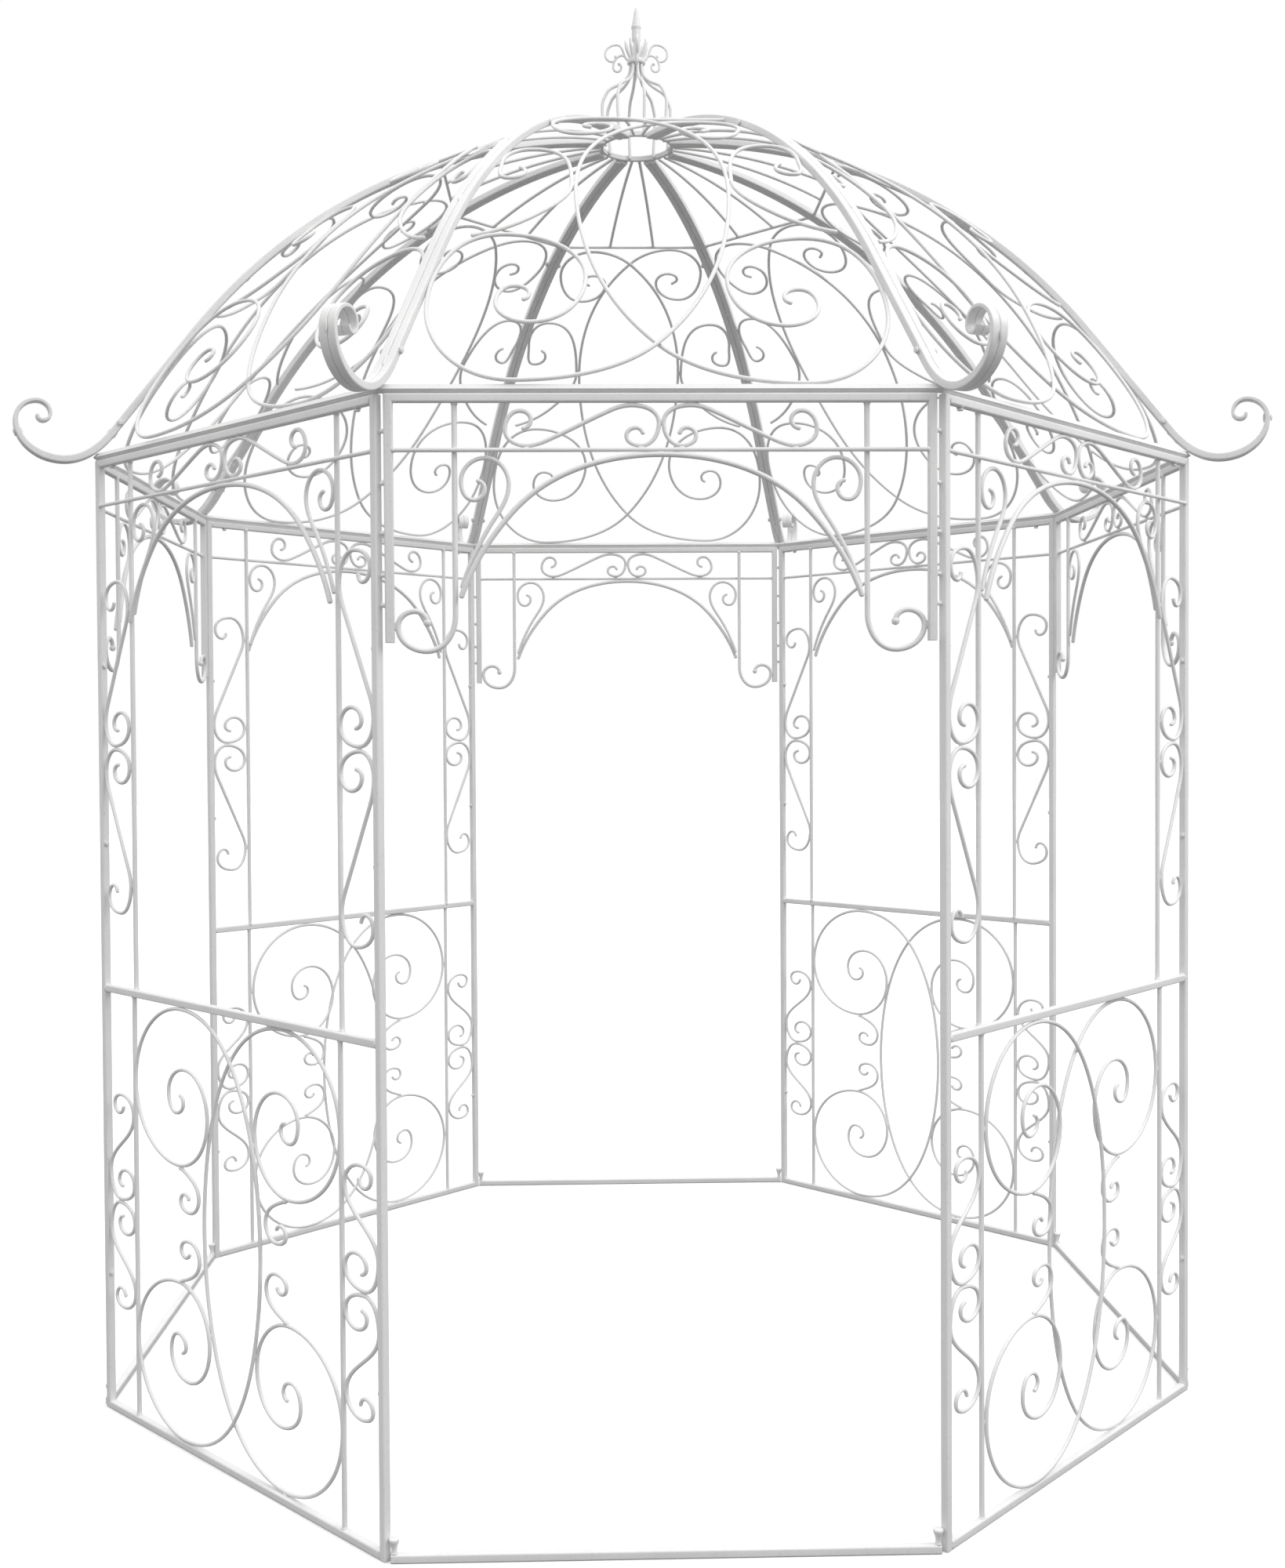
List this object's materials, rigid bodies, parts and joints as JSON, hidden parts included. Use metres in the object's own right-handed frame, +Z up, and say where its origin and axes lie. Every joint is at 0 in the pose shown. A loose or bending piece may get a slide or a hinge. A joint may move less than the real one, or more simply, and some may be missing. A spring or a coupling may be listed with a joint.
{
  "type": "garden bandstand",
  "caption": "Open octagonal garden bandstand of white scrolled steel bar: lattice side panels, arched doorways, curved ribs with curled ends, scrolled dome and spear finial.",
  "frame": {"origin": "centre of the octagon on the ground, level with the undersides of the bottom rails", "axes": "+Z up, -Y out through the front doorway, +X to the right seen from the front"},
  "size_m": [2.7462, 2.7462, 3.3059],
  "materials": {
    "white_steel": "satin white paint on bent and welded steel bar"
  },
  "bodies": {
    "root": {"side_panel_front_right": "white_steel", "side_panel_back_right": "white_steel", "side_panel_back_left": "white_steel", "side_panel_front_left": "white_steel", "balustrade_front_right": "white_steel", "balustrade_back_right": "white_steel", "balustrade_back_left": "white_steel", "balustrade_front_left": "white_steel", "panel_scrolls_front_right": "white_steel", "panel_scrolls_back_right": "white_steel", "panel_scrolls_back_left": "white_steel", "panel_scrolls_front_left": "white_steel", "door_header_front": "white_steel", "door_header_right": "white_steel", "door_header_back": "white_steel", "door_header_left": "white_steel", "header_scrolls_front": "white_steel", "header_scrolls_right": "white_steel", "header_scrolls_back": "white_steel", "header_scrolls_left": "white_steel", "sill_front": "white_steel", "sill_right": "white_steel", "sill_back": "white_steel", "sill_left": "white_steel", "rib_1": "white_steel", "rib_2": "white_steel", "rib_3": "white_steel", "rib_4": "white_steel", "rib_5": "white_steel", "rib_6": "white_steel", "rib_7": "white_steel", "rib_8": "white_steel", "roof_scrolls_1": "white_steel", "roof_scrolls_2": "white_steel", "roof_scrolls_3": "white_steel", "roof_scrolls_4": "white_steel", "roof_scrolls_5": "white_steel", "roof_scrolls_6": "white_steel", "roof_scrolls_7": "white_steel", "roof_scrolls_8": "white_steel", "arches": "white_steel", "crown_ring": "white_steel", "lantern": "white_steel", "finial": "white_steel"}
  },
  "joints": []
}
